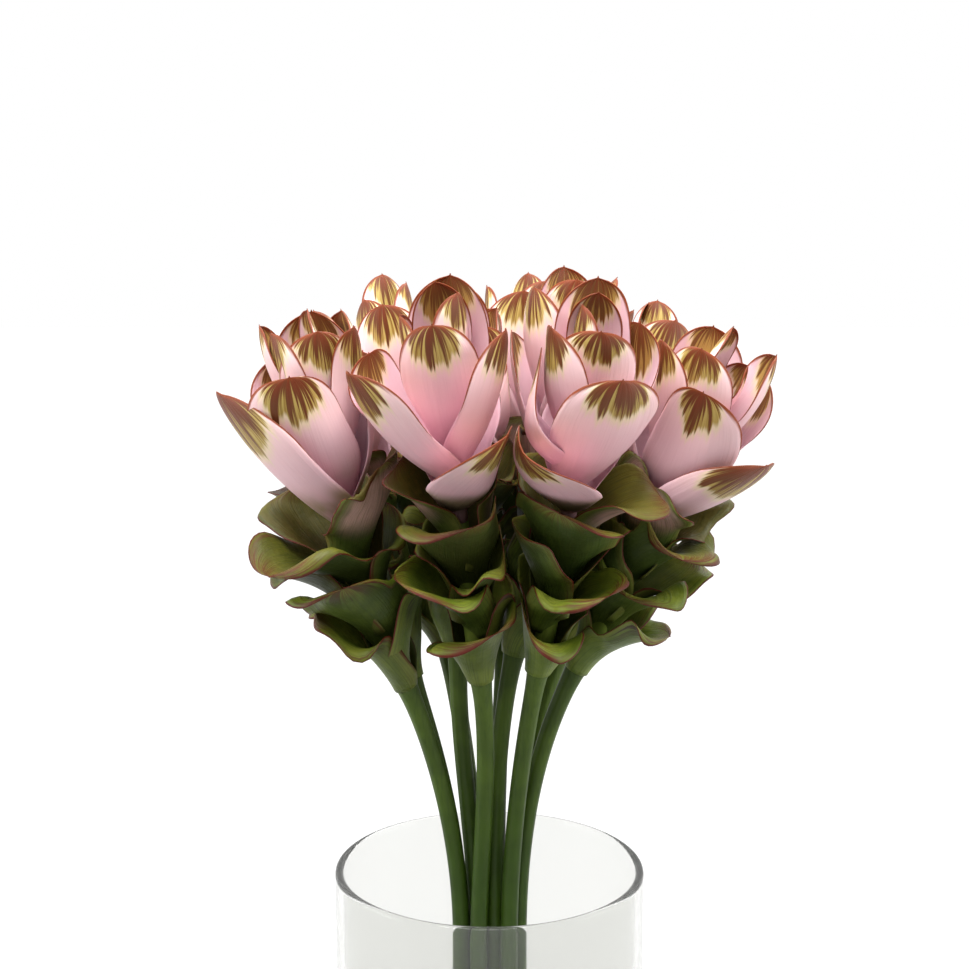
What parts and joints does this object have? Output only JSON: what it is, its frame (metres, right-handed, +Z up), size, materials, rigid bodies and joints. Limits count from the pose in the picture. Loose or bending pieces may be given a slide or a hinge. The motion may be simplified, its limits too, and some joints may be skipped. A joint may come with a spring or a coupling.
{
  "type": "curcuma flowers in a glass vase",
  "caption": "Bunch of cut curcuma flowers, pink bracts over green pouch bracts on round stems, standing in a clear glass cylinder vase with some water.",
  "frame": {"origin": "centre of the underside of the vase's foot", "axes": "+Z up along the vase's axis, towards the flowers; -Y towards the side that the picture shows; +X to that view's right"},
  "size_m": [0.2147, 0.1894, 0.4511],
  "materials": {
    "glass": "clear colourless glass with a polished rim",
    "water": "clear still water",
    "stem": "smooth fresh green stem, faintly ribbed along its length",
    "green_bract": "satin green bract with fine lengthwise veins and a red-brown margin",
    "pink_bract": "satin pale pink bract with fine veins and an olive tip streaked with red-brown"
  },
  "bodies": {
    "root": {"vase": "glass", "water": "water", "stem_1": "stem", "stem_2": "stem", "stem_3": "stem", "stem_4": "stem", "stem_5": "stem", "stem_6": "stem", "stem_7": "stem", "stem_8": "stem", "stem_9": "stem", "stem_10": "stem", "green_bracts_1": "green_bract", "green_bracts_2": "green_bract", "green_bracts_3": "green_bract", "green_bracts_4": "green_bract", "green_bracts_5": "green_bract", "green_bracts_6": "green_bract", "green_bracts_7": "green_bract", "green_bracts_8": "green_bract", "green_bracts_9": "green_bract", "green_bracts_10": "green_bract", "pink_bracts_1": "pink_bract", "pink_bracts_2": "pink_bract", "pink_bracts_3": "pink_bract", "pink_bracts_4": "pink_bract", "pink_bracts_5": "pink_bract", "pink_bracts_6": "pink_bract", "pink_bracts_7": "pink_bract", "pink_bracts_8": "pink_bract", "pink_bracts_9": "pink_bract", "pink_bracts_10": "pink_bract"}
  },
  "joints": []
}
